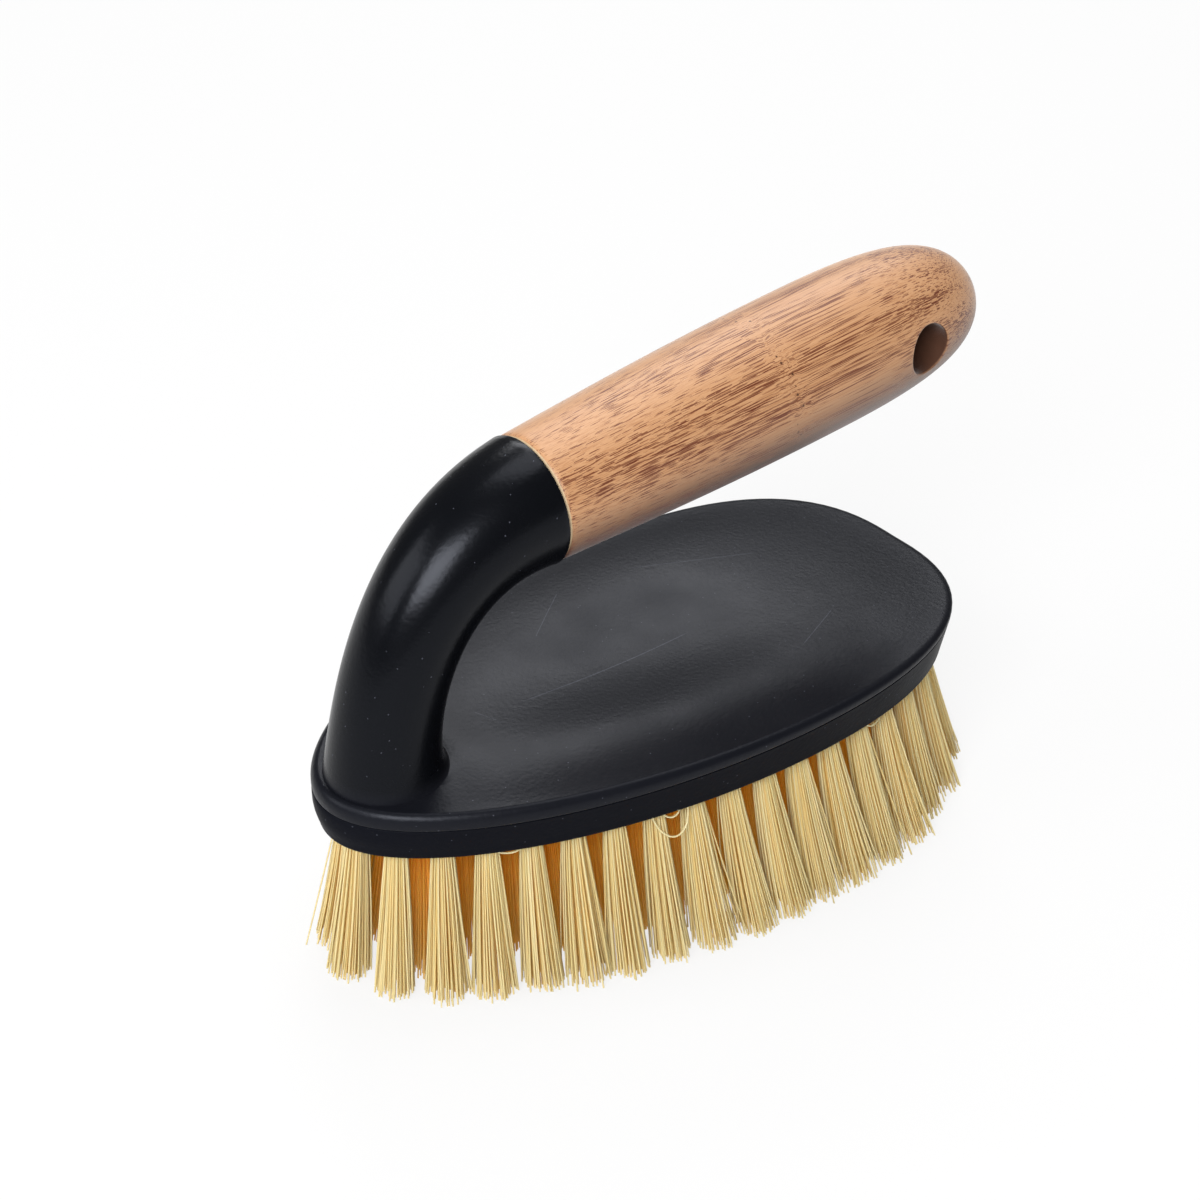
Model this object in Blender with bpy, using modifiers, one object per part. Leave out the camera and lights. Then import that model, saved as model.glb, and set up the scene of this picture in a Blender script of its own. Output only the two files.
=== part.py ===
"""Hand brush: a black moulded head on a hooked neck, a turned bamboo grip and rows of bristle tufts.

Metres, +Z up. The brush stands on its bristle tips at z = 0, with its nose towards -X and the free
end of its grip towards +X. Lengths along the head are counted from the head's middle, and the empty
"stand" puts the middle of the whole brush over the origin.
"""
import math
import random

import bpy
import bmesh
import numpy as np
from mathutils import Matrix, Vector
from mathutils.geometry import interpolate_bezier

CLEARANCE = 0.0003          # left between any two pieces that touch

# The head, seen from above: half an outline of two Bezier stretches, mirrored.
# A fullness is the length of a Bezier handle, as a share of the stretch that it shapes.
HEAD_LENGTH = 0.1503
HEAD_WIDTH = 0.0775
WIDEST_FROM_NOSE = 0.093
NOSE_FULLNESS = 0.51
FRONT_FULLNESS = 0.503
REAR_FULLNESS = 1.07
REAR_FLATNESS = 0.21
OUTLINE_STEPS = 20          # points on each Bezier stretch

# The head, seen from the side
BRISTLE_LENGTH = 0.0341     # halfway along
BLOCK_HEIGHT = 0.009        # from the block's underside to the seam under the cover, halfway along
UNDERSIDE_FALL = 0.0009     # how far the underside drops from halfway along to the rear
COVER_EDGE = 0.0029         # from the seam to the cover's edge, halfway along
TOP_FALL = 0.00113          # how far the edge drops from halfway along to the rear
TOP_BOW = 0.00037           # how far the edge drops at both ends
DISH_DEPTH = 0.0011         # hollow in the middle of the cover's top
BLOCK_DRAFT = 0.0005        # the block's underside, without its rounding, ends this far inside the outline
BLOCK_ROUNDING = 0.0015     # round along the block's lower edge
COVER_LIP = 0.0012          # the cover's rim bulges out of the outline
EDGE_INSET = 0.0005         # the cover's top edge lies inside it
RIM_FLAT = 0.25             # the rim is upright for this share of its height, and rounded above
SEAM_STEP = 0.0003          # the cover's rim stands proud of the block

# How the cover sits in the block, and the strips of tufts under it
PLUG_DEPTH = 0.003
PLUG_CHAMFER = 0.0005
BLOCK_WALL = 0.003          # wall of the block beside the cover's plug
STRIP_DEPTH = 0.002         # thickness of the strips that carry the tufts
POCKET_WALL = 0.0025        # wall of the block beside those strips

# The neck: its middle line is one Bezier stretch from the foot to the joint with the grip
NECK_FOOT = 0.01275         # from the nose to the middle of the foot
JOINT_FROM_NOSE = 0.0482
JOINT_HEIGHT = 0.0482       # above the cover's edge
JOINT_RADIUS = 0.0135       # of the neck, which ends a little proud of the grip
NECK_FOOT_FULLNESS = 0.26
NECK_JOINT_FULLNESS = 0.85
NECK_FOOT_RADIUS = 0.0119
NECK_WAIST = 0.0087         # control radius between the foot and the joint
FOOT_FLARE = 0.0008
FOOT_FLARE_HEIGHT = 0.0025
FOOT_SHIFT = 0.0006         # the flare runs out towards the middle of the head
FOOT_ROOT = 0.0018          # how deep the foot reaches into the cover
NECK_STEPS = 18

# The grip, turned about its own axis: two Bezier stretches on either side of its widest place
GRIP_TILT = math.radians(3.95)
GRIP_LENGTH = 0.1166
GRIP_RADIUS = 0.0132        # where it meets the neck
GRIP_WIDEST_FROM_JOINT = 0.075
GRIP_WIDEST_RADIUS = 0.0156
GRIP_NECK_FULLNESS = 0.33
GRIP_NECK_RISE = 0.0013     # how much the grip swells along its first Bezier handle
GRIP_FRONT_FULLNESS = 0.40
GRIP_REAR_FULLNESS = 0.63
GRIP_END_FULLNESS = 0.84
GRIP_CHAMFER = 0.0008
GRIP_STEPS = 13             # steps on each Bezier stretch
TENON_RADIUS = 0.0065
TENON_LENGTH = 0.014
TENON_CHAMFER = 0.001
HANG_HOLE_RADIUS = 0.0054
HANG_HOLE_FROM_END = 0.0228
ROUND_SIDES = 32            # sides of the neck, the grip and round holes

# The bristles
TUFT_ROWS = 17
TUFT_INSET = 0.0062         # from the head's side to the outer tufts
OUTER_TUFT_PITCH = 0.0087   # between outer tufts, along the head's side
TUFT_PITCH = 0.0103         # between tufts of a row
ROW_STAGGER = 0.0008        # every second tuft of a row is set back and forth by this much
TUFT_RADIUS = 0.0016        # the circle on which a tuft's strands leave the block
STRANDS_PER_TUFT = 5
STRAND_SIDES = 4
STRAND_ROOT = 0.0008
STRAND_TIP = 0.0007
TUFT_SPREAD = 1.7           # how many times wider a tuft is at its tips
NOSE_LEAN = 0.0036          # how far tips stand outwards of their roots, at the head's edge
REAR_LEAN = 0.0072
SIDE_LEAN = 0.0095
TIP_UNEVENNESS = 0.0018
FLAT_CUT = 0.0005           # the longest tips are cut off flat by this much

# Places worked out from the sizes above
NOSE = -HEAD_LENGTH / 2
REAR = HEAD_LENGTH / 2
UNDERSIDE = BRISTLE_LENGTH
SEAM = UNDERSIDE + BLOCK_HEIGHT
RIM_FOOT = SEAM + 2 * CLEARANCE
EDGE = SEAM + COVER_EDGE
UP = Vector((0, 0, 1))
GRIP_AXIS = Vector((math.cos(GRIP_TILT), 0, math.sin(GRIP_TILT)))
JOINT = Vector((NOSE + JOINT_FROM_NOSE, 0, EDGE + JOINT_HEIGHT))
GRIP_END = JOINT + GRIP_AXIS * GRIP_LENGTH
MIDDLE = (NOSE - COVER_LIP + GRIP_END.x) / 2


def material(name, colour, roughness):
    """A Principled material in one colour."""
    made = bpy.data.materials.new(name)
    made.use_nodes = True
    shader = made.node_tree.nodes["Principled BSDF"]
    shader.inputs["Base Color"].default_value = (*colour, 1)
    shader.inputs["Roughness"].default_value = roughness
    made.diffuse_color = (*colour, 1)
    return made


def collection(name):
    made = bpy.data.collections.new(name)
    bpy.context.scene.collection.children.link(made)
    return made


def place(name, mesh, home):
    """A mesh as an object of a collection, shaded smooth and carried by the stand."""
    mesh.shade_smooth()
    mesh.set_sharp_from_angle(angle=math.radians(35))
    made = bpy.data.objects.new(name, mesh)
    made.parent = stand
    home.objects.link(made)
    return made


def closed_object(name, shape, home):
    """A closed bmesh as an object, with its faces pointing out."""
    bmesh.ops.recalc_face_normals(shape, faces=shape.faces)
    mesh = bpy.data.meshes.new(name)
    shape.to_mesh(mesh)
    shape.free()
    return place(name, mesh, home)


def loft(name, sections, home):
    """A closed skin over sections with the same number of points, with a face on each end."""
    shape = bmesh.new()
    rings = [[shape.verts.new(point) for point in section] for section in sections]
    for low, high in zip(rings, rings[1:]):
        for here in range(len(low)):
            after = (here + 1) % len(low)
            shape.faces.new((low[here], low[after], high[after], high[here]))
    shape.faces.new(rings[0])
    shape.faces.new(rings[-1])
    return closed_object(name, shape, home)


def cutter(made):
    """Keeps an object as a guide for Booleans, out of the model itself."""
    made.hide_render = True
    made.display_type = "WIRE"
    return made


def boolean(made, tool, operation):
    step = made.modifiers.new(f"{operation.lower()} {tool.name}", "BOOLEAN")
    step.operation = operation
    step.object = tool


def round_cutter(name, radius, length, centre, axis):
    """A round cutter about an axis."""
    shape = bmesh.new()
    turn = axis.to_track_quat("Z", "Y").to_matrix().to_4x4()
    bmesh.ops.create_cone(shape, cap_ends=True, segments=ROUND_SIDES, radius1=radius, radius2=radius,
                          depth=length, matrix=Matrix.Translation(centre) @ turn)
    return cutter(closed_object(name, shape, cutters))


def outline(inset):
    """Points round the head seen from above, drawn in by an inset, from the nose and back to it."""
    nose = Vector((NOSE, 0))
    widest = Vector((NOSE + WIDEST_FROM_NOSE, HEAD_WIDTH / 2))
    rear = Vector((REAR, 0))
    along, across = Vector((1, 0)), Vector((0, HEAD_WIDTH / 2))
    front_handle = along * FRONT_FULLNESS * (widest.x - nose.x)
    rear_handle = along * REAR_FULLNESS * (rear.x - widest.x)
    front = interpolate_bezier(nose, nose + across * NOSE_FULLNESS, widest - front_handle, widest,
                               OUTLINE_STEPS + 1)
    back = interpolate_bezier(widest, widest + rear_handle, rear + across * REAR_FLATNESS, rear,
                              OUTLINE_STEPS + 1)
    half = front[:-1] + back
    whole = half + [Vector((point.x, -point.y)) for point in half[-2:0:-1]]
    moved = []
    for here, point in enumerate(whole):
        onwards = (whole[(here + 1) % len(whole)] - whole[here - 1]).normalized()
        moved.append(point + Vector((onwards.y, -onwards.x)) * inset)
    return moved


def half_width(along, inset):
    """Half the width of the drawn-in outline at a place along the head."""
    side = sorted((point.x, point.y) for point in outline(inset) if point.y >= 0)
    places, widths = zip(*side)
    return float(np.interp(along, places, widths))


def edge_height(along):
    """Height of the cover's edge at a place along the head."""
    share = along / REAR
    return EDGE - TOP_FALL * share - TOP_BOW * share ** 2


def level_section(inset, height):
    return [Vector((point.x, point.y, height)) for point in outline(inset)]


def underside_height(along):
    """Height of the block's underside at a place along the head."""
    return UNDERSIDE - UNDERSIDE_FALL * along / REAR


def underside_section(inset, height):
    """A section parallel to the block's underside, at a height above it."""
    return [Vector((point.x, point.y, underside_height(point.x) + height)) for point in outline(inset)]


def rim_section(turn):
    """A section of the cover's rim, which is upright at a turn of 0 and rounds inwards up to 90 degrees."""
    inset = EDGE_INSET - (COVER_LIP + EDGE_INSET) * math.cos(turn)
    share = RIM_FLAT + (1 - RIM_FLAT) * math.sin(turn)
    return [Vector((point.x, point.y, RIM_FOOT + share * (edge_height(point.x) - RIM_FOOT)))
            for point in outline(inset)]


def top_section(scale):
    """A section of the cover's dished top: its edge, scaled about the head's middle."""
    hollow = DISH_DEPTH * (1 - scale ** 2) ** 1.5
    return [Vector((point.x * scale, point.y * scale, edge_height(point.x * scale) - hollow))
            for point in outline(EDGE_INSET)]


def make_cover():
    """The cover: a lid whose plug sits in the block, moulded in one with the hooked neck."""
    plug = BLOCK_WALL + CLEARANCE
    sections = [
        level_section(plug + PLUG_CHAMFER, SEAM - PLUG_DEPTH),
        level_section(plug, SEAM - PLUG_DEPTH + PLUG_CHAMFER),
        level_section(plug, SEAM + CLEARANCE),
        level_section(CLEARANCE - COVER_LIP, SEAM + CLEARANCE),
        level_section(-COVER_LIP, RIM_FOOT),
    ]
    sections += [rim_section(math.radians(turn)) for turn in (0, 25, 50, 70)]
    sections += [top_section(scale) for scale in (1.0, 0.94, 0.84, 0.70, 0.54, 0.38, 0.22, 0.08)]
    cover = loft("cover", sections, parts)
    cover.data.materials.append(black_plastic)
    boolean(cover, make_neck(), "UNION")
    reach = TENON_LENGTH + CLEARANCE
    socket = round_cutter("tenon_socket", TENON_RADIUS + CLEARANCE, 2 * reach, JOINT, GRIP_AXIS)
    boolean(cover, socket, "DIFFERENCE")


def make_neck():
    """The hooked neck, from its flared foot in the cover to the face that the grip butts against."""
    foot = Vector((NOSE + NECK_FOOT, 0, edge_height(NOSE + NECK_FOOT)))
    reach = JOINT - foot
    line = interpolate_bezier(foot, foot + UP * NECK_FOOT_FULLNESS * reach.z,
                              JOINT - GRIP_AXIS * NECK_JOINT_FULLNESS * reach.x, JOINT, NECK_STEPS + 1)
    ways = [UP] + [(after - before).normalized() for before, after in zip(line, line[2:])] + [GRIP_AXIS]
    sections = []
    for step, (centre, way) in enumerate(zip(line, ways)):
        share = step / NECK_STEPS
        flare = math.exp(-(centre.z - foot.z) / FOOT_FLARE_HEIGHT)
        radius = NECK_FOOT_RADIUS * (1 - share) ** 2 + 2 * NECK_WAIST * share * (1 - share)
        radius += JOINT_RADIUS * share ** 2 + FOOT_FLARE * flare
        middle = centre + Vector((FOOT_SHIFT * flare, 0, 0))
        across = Vector((-way.z, 0, way.x)) * radius
        side = Vector((0, radius, 0))
        turns = [math.tau * here / ROUND_SIDES for here in range(ROUND_SIDES)]
        sections.append([middle + across * math.cos(turn) + side * math.sin(turn) for turn in turns])
    root = [point - UP * FOOT_ROOT for point in sections[0]]
    return cutter(loft("neck_form", [root] + sections, cutters))


def make_block():
    """The block: a tray that takes the cover's plug on top and the tufted strips underneath."""
    turns = [math.radians(turn) for turn in (0, 30, 60, 90)]
    sections = [underside_section(BLOCK_DRAFT + BLOCK_ROUNDING * (1 - math.sin(turn)),
                                  BLOCK_ROUNDING * (1 - math.cos(turn))) for turn in turns]
    sections.append(level_section(SEAM_STEP - COVER_LIP, SEAM))
    block = loft("tuft_block", sections, parts)
    block.data.materials.append(black_plastic)
    recess = (level_section(BLOCK_WALL, SEAM - PLUG_DEPTH - CLEARANCE),
              level_section(BLOCK_WALL, SEAM + COVER_EDGE))
    pocket = (underside_section(BLOCK_DRAFT + POCKET_WALL, -STRIP_DEPTH),
              underside_section(BLOCK_DRAFT + POCKET_WALL, STRIP_DEPTH + CLEARANCE))
    boolean(block, cutter(loft("plug_recess", recess, cutters)), "DIFFERENCE")
    boolean(block, cutter(loft("strip_pocket", pocket, cutters)), "DIFFERENCE")


def grip_profile():
    """Points of the turned grip as radius and distance from the joint, from its free end to its tenon."""
    joint = Vector((GRIP_RADIUS, 0))
    widest = Vector((GRIP_WIDEST_RADIUS, GRIP_WIDEST_FROM_JOINT))
    end = Vector((0, GRIP_LENGTH))
    front, rear = widest.y - joint.y, end.y - widest.y
    swelling = interpolate_bezier(joint, joint + Vector((GRIP_NECK_RISE, GRIP_NECK_FULLNESS * front)),
                                  widest - Vector((0, GRIP_FRONT_FULLNESS * front)), widest, GRIP_STEPS + 1)
    closing = interpolate_bezier(widest, widest + Vector((0, GRIP_REAR_FULLNESS * rear)),
                                 end + Vector((GRIP_END_FULLNESS * widest.x, 0)), end, GRIP_STEPS + 1)
    body = (swelling[:-1] + closing)[::-1]
    chamfer = [
        Vector((GRIP_RADIUS, CLEARANCE + GRIP_CHAMFER)),
        Vector((GRIP_RADIUS - GRIP_CHAMFER, CLEARANCE)),
    ]
    tenon = [
        Vector((TENON_RADIUS, CLEARANCE)),
        Vector((TENON_RADIUS, TENON_CHAMFER - TENON_LENGTH)),
        Vector((TENON_RADIUS - TENON_CHAMFER, -TENON_LENGTH)),
        Vector((0, -TENON_LENGTH)),
    ]
    return body[:-1] + chamfer + tenon


def make_grip():
    """The bamboo grip, turned in one with the tenon that is glued into the neck."""
    shape = bmesh.new()
    points = [shape.verts.new((point.x, 0, point.y)) for point in grip_profile()]
    for above, below in zip(points, points[1:]):
        shape.edges.new((above, below))
    mesh = bpy.data.meshes.new("grip")
    shape.to_mesh(mesh)
    shape.free()
    mesh.materials.append(bamboo)
    grip = place("grip", mesh, parts)
    grip.location = JOINT
    grip.rotation_euler = (0, math.radians(90) - GRIP_TILT, 0)
    lathe = grip.modifiers.new("lathe", "SCREW")
    lathe.steps = ROUND_SIDES
    lathe.render_steps = ROUND_SIDES
    lathe.use_merge_vertices = True
    lathe.merge_threshold = 0.00001
    centre = JOINT + GRIP_AXIS * (GRIP_LENGTH - HANG_HOLE_FROM_END)
    hole = round_cutter("hanging_hole", HANG_HOLE_RADIUS, 3 * GRIP_WIDEST_RADIUS, centre, Vector((0, 1, 0)))
    boolean(grip, hole, "DIFFERENCE")


def row_places():
    """Places along the head of the nose tuft and of the rows, whose outer tufts are evenly spaced."""
    side = [point for point in outline(TUFT_INSET) if point.y >= 0]
    lengths = np.cumsum([0] + [(after - before).length for before, after in zip(side, side[1:])])
    along = [point.x for point in side]
    outer = [float(np.interp(OUTER_TUFT_PITCH * row, lengths, along)) for row in range(TUFT_ROWS + 1)]
    return outer[0], [place + ROW_STAGGER for place in outer[1:]]


def tuft_places(along):
    """Where the tufts of the row at a place along the head leave the block."""
    reach = half_width(along - ROW_STAGGER, TUFT_INSET)
    count = max(1, round(2 * reach / TUFT_PITCH) + 1)
    if count == 1:
        return [Vector((along, 0))]
    places = []
    for here in range(count):
        from_side = min(here, count - 1 - here)
        back_and_forth = ROW_STAGGER if from_side % 2 else -ROW_STAGGER
        places.append(Vector((along + back_and_forth, reach * (2 * here / (count - 1) - 1))))
    return places


def lean(root):
    """How far a tuft's tips stand outwards of its root."""
    share = (root.x - NOSE) / HEAD_LENGTH
    return Vector((REAR_LEAN * share - NOSE_LEAN * (1 - share), SIDE_LEAN * root.y / (HEAD_WIDTH / 2)))


def add_strand(shape, root, tip, turn):
    """One strand: a slender post whose ends are level, so that its tip stands flat."""
    slant = Matrix.Translation((root + tip) / 2)
    for axis in range(3):
        slant[axis][2] = root[axis] - tip[axis]
    bmesh.ops.create_cone(shape, cap_ends=True, segments=STRAND_SIDES, radius1=STRAND_TIP,
                          radius2=STRAND_ROOT, depth=1, matrix=slant @ Matrix.Rotation(turn, 4, "Z"))


def make_strands(name, centres, cut):
    """All strands of one row, fanning out from their tufts to uneven tips."""
    shape = bmesh.new()
    root_height = underside_height(centres[0].x) + STRIP_DEPTH / 2
    for centre in centres:
        turned = cut.uniform(0, math.tau)
        for strand in range(STRANDS_PER_TUFT):
            turn = turned + math.tau * strand / STRANDS_PER_TUFT
            out = Vector((math.cos(turn), math.sin(turn))) * TUFT_RADIUS
            tip_height = max(0.0, cut.uniform(0, TIP_UNEVENNESS) - FLAT_CUT)
            root = centre + out
            lowest = centre + lean(centre) + out * TUFT_SPREAD
            tip = root.lerp(lowest, (root_height - tip_height) / root_height)
            add_strand(shape, Vector((*root, root_height)), Vector((*tip, tip_height)), turn)
    return cutter(closed_object(name, shape, cutters))


def make_rows():
    """The rows of tufts, each fused to its own strip of the block's underside."""
    inset = BLOCK_DRAFT + POCKET_WALL + CLEARANCE
    sections = (underside_section(inset, 0), underside_section(inset, STRIP_DEPTH))
    strip_form = cutter(loft("strip_form", sections, cutters))
    cut = random.Random(7)
    nose_tuft, places = row_places()
    for row, along in enumerate(places):
        centres = tuft_places(along)
        if row == 0:
            centres.insert(0, Vector((nose_tuft, 0)))
        start = NOSE if row == 0 else (places[row - 1] + along + CLEARANCE) / 2
        end = REAR if row == TUFT_ROWS - 1 else (along + places[row + 1] - CLEARANCE) / 2
        shape = bmesh.new()
        size = Matrix.Diagonal((end - start, HEAD_WIDTH, 4 * STRIP_DEPTH, 1))
        middle = Matrix.Translation(((start + end) / 2, 0, UNDERSIDE))
        bmesh.ops.create_cube(shape, size=1, matrix=middle @ size)
        strip = closed_object(f"tuft_row_{row + 1:02d}", shape, parts)
        strip.data.materials.append(bristle)
        boolean(strip, strip_form, "INTERSECT")
        boolean(strip, make_strands(f"strands_{row + 1:02d}", centres, cut), "UNION")


for old in list(bpy.data.objects):
    bpy.data.objects.remove(old)
parts = collection("hand_brush")
cutters = collection("cutters")
black_plastic = material("black_plastic", (0.018, 0.019, 0.021), 0.42)
bamboo = material("bamboo", (0.47, 0.25, 0.11), 0.45)
bristle = material("bristle", (0.78, 0.62, 0.32), 0.5)
stand = bpy.data.objects.new("stand", None)
stand.location = (-MIDDLE, 0, 0)
parts.objects.link(stand)
make_block()
make_cover()
make_grip()
make_rows()
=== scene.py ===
# %% [markdown]
# # A scrubbing brush with a bamboo grip
#
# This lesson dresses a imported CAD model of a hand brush: a black moulded head on a hooked neck, a
# turned bamboo grip and rows of stiff cream tufts. The CAD model gives every place and size. Each
# piece is modelled again with smooth surfaces and real detail, and rides on the CAD body.

# %% Load the frame
import math
import random

import bmesh
import bpy
import numpy as np
from mathutils import Matrix, Vector
from mathutils.geometry import interpolate_bezier


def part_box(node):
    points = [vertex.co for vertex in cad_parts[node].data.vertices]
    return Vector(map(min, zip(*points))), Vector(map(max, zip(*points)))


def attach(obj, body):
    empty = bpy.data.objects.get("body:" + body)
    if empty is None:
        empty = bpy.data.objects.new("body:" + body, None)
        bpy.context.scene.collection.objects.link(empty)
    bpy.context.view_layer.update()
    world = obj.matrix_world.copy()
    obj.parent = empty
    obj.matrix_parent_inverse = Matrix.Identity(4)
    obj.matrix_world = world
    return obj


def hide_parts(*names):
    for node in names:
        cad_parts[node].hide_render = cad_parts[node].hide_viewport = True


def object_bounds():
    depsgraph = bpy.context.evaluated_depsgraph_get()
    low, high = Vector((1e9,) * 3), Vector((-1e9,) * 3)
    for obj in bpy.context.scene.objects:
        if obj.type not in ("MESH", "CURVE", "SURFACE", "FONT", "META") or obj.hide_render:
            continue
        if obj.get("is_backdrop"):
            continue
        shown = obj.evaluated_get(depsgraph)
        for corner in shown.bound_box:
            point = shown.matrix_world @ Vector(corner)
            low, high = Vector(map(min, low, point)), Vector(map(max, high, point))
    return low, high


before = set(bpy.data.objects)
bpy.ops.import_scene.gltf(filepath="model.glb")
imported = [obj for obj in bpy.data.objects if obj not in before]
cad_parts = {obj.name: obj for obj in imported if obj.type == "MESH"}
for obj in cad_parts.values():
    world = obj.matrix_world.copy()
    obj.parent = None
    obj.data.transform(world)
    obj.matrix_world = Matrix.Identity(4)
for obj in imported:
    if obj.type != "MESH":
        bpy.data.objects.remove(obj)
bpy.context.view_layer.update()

MM = 0.001


def in_mm(lengths):
    """Lengths or a place from the scene as rounded millimetres, to print."""
    return [round(length / MM, 1) for length in lengths]


# %% [markdown]
# ## Measures
#
# All sizes are in millimetres and were measured off the photograph for the CAD model. Lengths along
# the head are counted from its middle, so one number, read from the CAD cover, turns them into places.

# %% Sizes of the brush
CLEARANCE = 0.3                  # all round a tenon or a plug
HEAD_LENGTH, HEAD_WIDTH = 150.3, 77.5
WIDEST_FROM_NOSE, NECK_FROM_NOSE = 93.0, 12.75
NOSE, REAR = -HEAD_LENGTH / 2, HEAD_LENGTH / 2
LIP = 1.2                        # the cover's rim bulges out of the outline by this much
EDGE_INSET = 0.5                 # the lid's edge lies inside it
UNDERSIDE, SEAM, EDGE = 34.1, 43.1, 46.0     # heights over the bristle tips, at the head's middle
TILT = math.radians(3.95)        # the grip rises towards its free end
GRIP_AXIS = Vector((math.cos(TILT), 0, math.sin(TILT)))
GRIP_UP = Vector((-math.sin(TILT), 0, math.cos(TILT)))
ACROSS = Vector((0, 1, 0))
JOINT_FROM_NOSE, JOINT_OVER_EDGE = 48.2, 48.2
JOINT = Vector((NOSE + JOINT_FROM_NOSE, 0, EDGE + JOINT_OVER_EDGE))
NECK_RADIUS, GRIP_RADIUS = 13.5, 13.2        # where the two meet
TENON_RADIUS, TENON_LENGTH = 6.5, 14.0
GRIP_LENGTH, HOLE_RADIUS, HOLE_FROM_END = 116.6, 5.4, 22.8
HOLE_ALONG = GRIP_LENGTH - HOLE_FROM_END
HOLE = JOINT + GRIP_AXIS * HOLE_ALONG
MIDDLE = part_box("cover")[0].x / MM - (NOSE - LIP)


def in_place(point):
    """A point in millimetres from the head's middle, as a place in the scene."""
    return Vector((point[0] + MIDDLE, point[1], point[2])) * MM


print("head's middle at x =", round(MIDDLE, 2), "mm, joint at", in_mm(in_place(JOINT)))

# %% [markdown]
# ## Outline of the head
#
# From above, the head is an iron's shape: two smooth Bezier stretches on each side meet at its widest
# place. Every ring of the cover and the block is this outline, drawn in by some inset, so the two
# mouldings match. Its points are spread so that they also suit the round foot of the neck, because
# the cover's top is a skin between the two.

# %% The outline as points
RING = 192                       # points on every ring
FINE = 600                       # points on each Bezier stretch, before they are spread
FOOT = Vector((NOSE + NECK_FROM_NOSE, 0, 0))
NOSE_FULLNESS, FRONT_FULLNESS = 0.51, 0.503  # reach of each Bezier handle, as a share of its side
BACK_FULLNESS, REAR_FULLNESS = 1.07, 0.21


def fine_outline():
    """One side of the head's outline as many points, from the nose to the rear."""
    nose, rear = Vector((NOSE, 0)), Vector((REAR, 0))
    widest = Vector((NOSE + WIDEST_FROM_NOSE, HEAD_WIDTH / 2))
    front, back = widest.x - nose.x, rear.x - widest.x
    half = interpolate_bezier(nose, nose + Vector((0, NOSE_FULLNESS * widest.y)),
                              widest - Vector((FRONT_FULLNESS * front, 0)), widest, FINE)[:-1]
    half += interpolate_bezier(widest, widest + Vector((BACK_FULLNESS * back, 0)),
                               rear + Vector((0, REAR_FULLNESS * widest.y)), rear, FINE)
    return np.array([point[:2] for point in half])


def spread(half):
    """Which of the fine points to keep: evenly by length and by the turn about the neck's foot."""
    steps = np.hypot(*np.diff(half, axis=0).T)
    length = np.concatenate([[0], np.cumsum(steps)])
    turn = math.pi - np.arctan2(half[:, 1], half[:, 0] - FOOT.x)
    share = 0.5 * length / length[-1] + 0.5 * turn / math.pi
    return np.interp(np.linspace(0, 1, RING // 2 + 1), share, np.arange(len(half)))


HALF = fine_outline()
KEPT = spread(HALF)


def outline(inset):
    """The ring of outline points, drawn in by an inset in millimetres."""
    ways = np.gradient(HALF, axis=0)
    ways[0], ways[-1] = (0, 1), (0, -1)
    ways /= np.hypot(*ways.T)[:, None]
    moved = HALF + np.stack([ways[:, 1], -ways[:, 0]], 1) * inset
    side = np.stack([np.interp(KEPT, np.arange(len(HALF)), moved[:, axis]) for axis in (0, 1)], 1)
    return [Vector(point) for point in np.concatenate([side, side[-2:0:-1] * [1, -1]])]


print("outline:", RING, "points,", round(max(point.x for point in outline(0)) - NOSE, 1), "mm long")

# %% [markdown]
# ## Pulling rings
#
# A moulded shell is modelled here as one would by hand: a circle is added, and its edge loop is
# extruded and placed again and again, from the underside up to the top of the neck. Each vertex
# remembers its number on the ring, so a new ring goes exactly where its list of points says.

# %% Helpers for rings
def bare():
    """Object mode with nothing selected."""
    if bpy.context.mode != "OBJECT":
        bpy.ops.object.mode_set(mode="OBJECT")
    bpy.ops.object.select_all(action="DESELECT")


def take(piece):
    """Makes a piece the only one selected and the active one."""
    bare()
    piece.select_set(True)
    bpy.context.view_layer.objects.active = piece


def put_ring(piece, points):
    """Puts the picked vertices of the open piece on the points of a ring."""
    shape = bmesh.from_edit_mesh(piece.data)
    number = shape.verts.layers.int["number"]
    for vertex in shape.verts:
        if vertex.select:
            vertex.co = in_place(points[vertex[number]])
    bmesh.update_edit_mesh(piece.data)


def first_ring(name, points):
    """A circle with one vertex for each point of a ring, put there and left open for editing."""
    bare()
    bpy.ops.mesh.primitive_circle_add(vertices=len(points), radius=1, location=(0, 0, 0))
    piece = bpy.context.active_object
    piece.name = piece.data.name = name
    bpy.ops.object.mode_set(mode="EDIT")
    shape = bmesh.from_edit_mesh(piece.data)
    number = shape.verts.layers.int.new("number")
    for place, vertex in enumerate(shape.verts):
        vertex[number] = place
    bmesh.update_edit_mesh(piece.data)
    bpy.ops.mesh.select_all(action="SELECT")
    put_ring(piece, points)
    return piece


def next_ring(piece, points):
    """Extrudes the open edge loop to the next ring."""
    bpy.ops.mesh.extrude_edges_move()
    put_ring(piece, points)


def close_ring():
    """Closes the open edge loop with one flat face."""
    bpy.ops.mesh.edge_face_add()


def finish_shell(piece, angle=40):
    """Turns the faces outwards and shades them smooth, apart from edges sharper than the angle."""
    bpy.ops.mesh.select_all(action="SELECT")
    bpy.ops.mesh.normals_make_consistent(inside=False)
    bpy.ops.object.mode_set(mode="OBJECT")
    take(piece)
    bpy.ops.object.shade_smooth_by_angle(angle=math.radians(angle))
    print(piece.name, len(piece.data.polygons), "faces, box in mm:", in_mm(piece.dimensions))


def pull(name, rings):
    """A closed shell over a list of rings, with a flat face on both ends."""
    piece = first_ring(name, rings[0])
    close_ring()
    for ring in rings[1:]:
        next_ring(piece, ring)
    close_ring()
    finish_shell(piece)
    return piece


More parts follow.
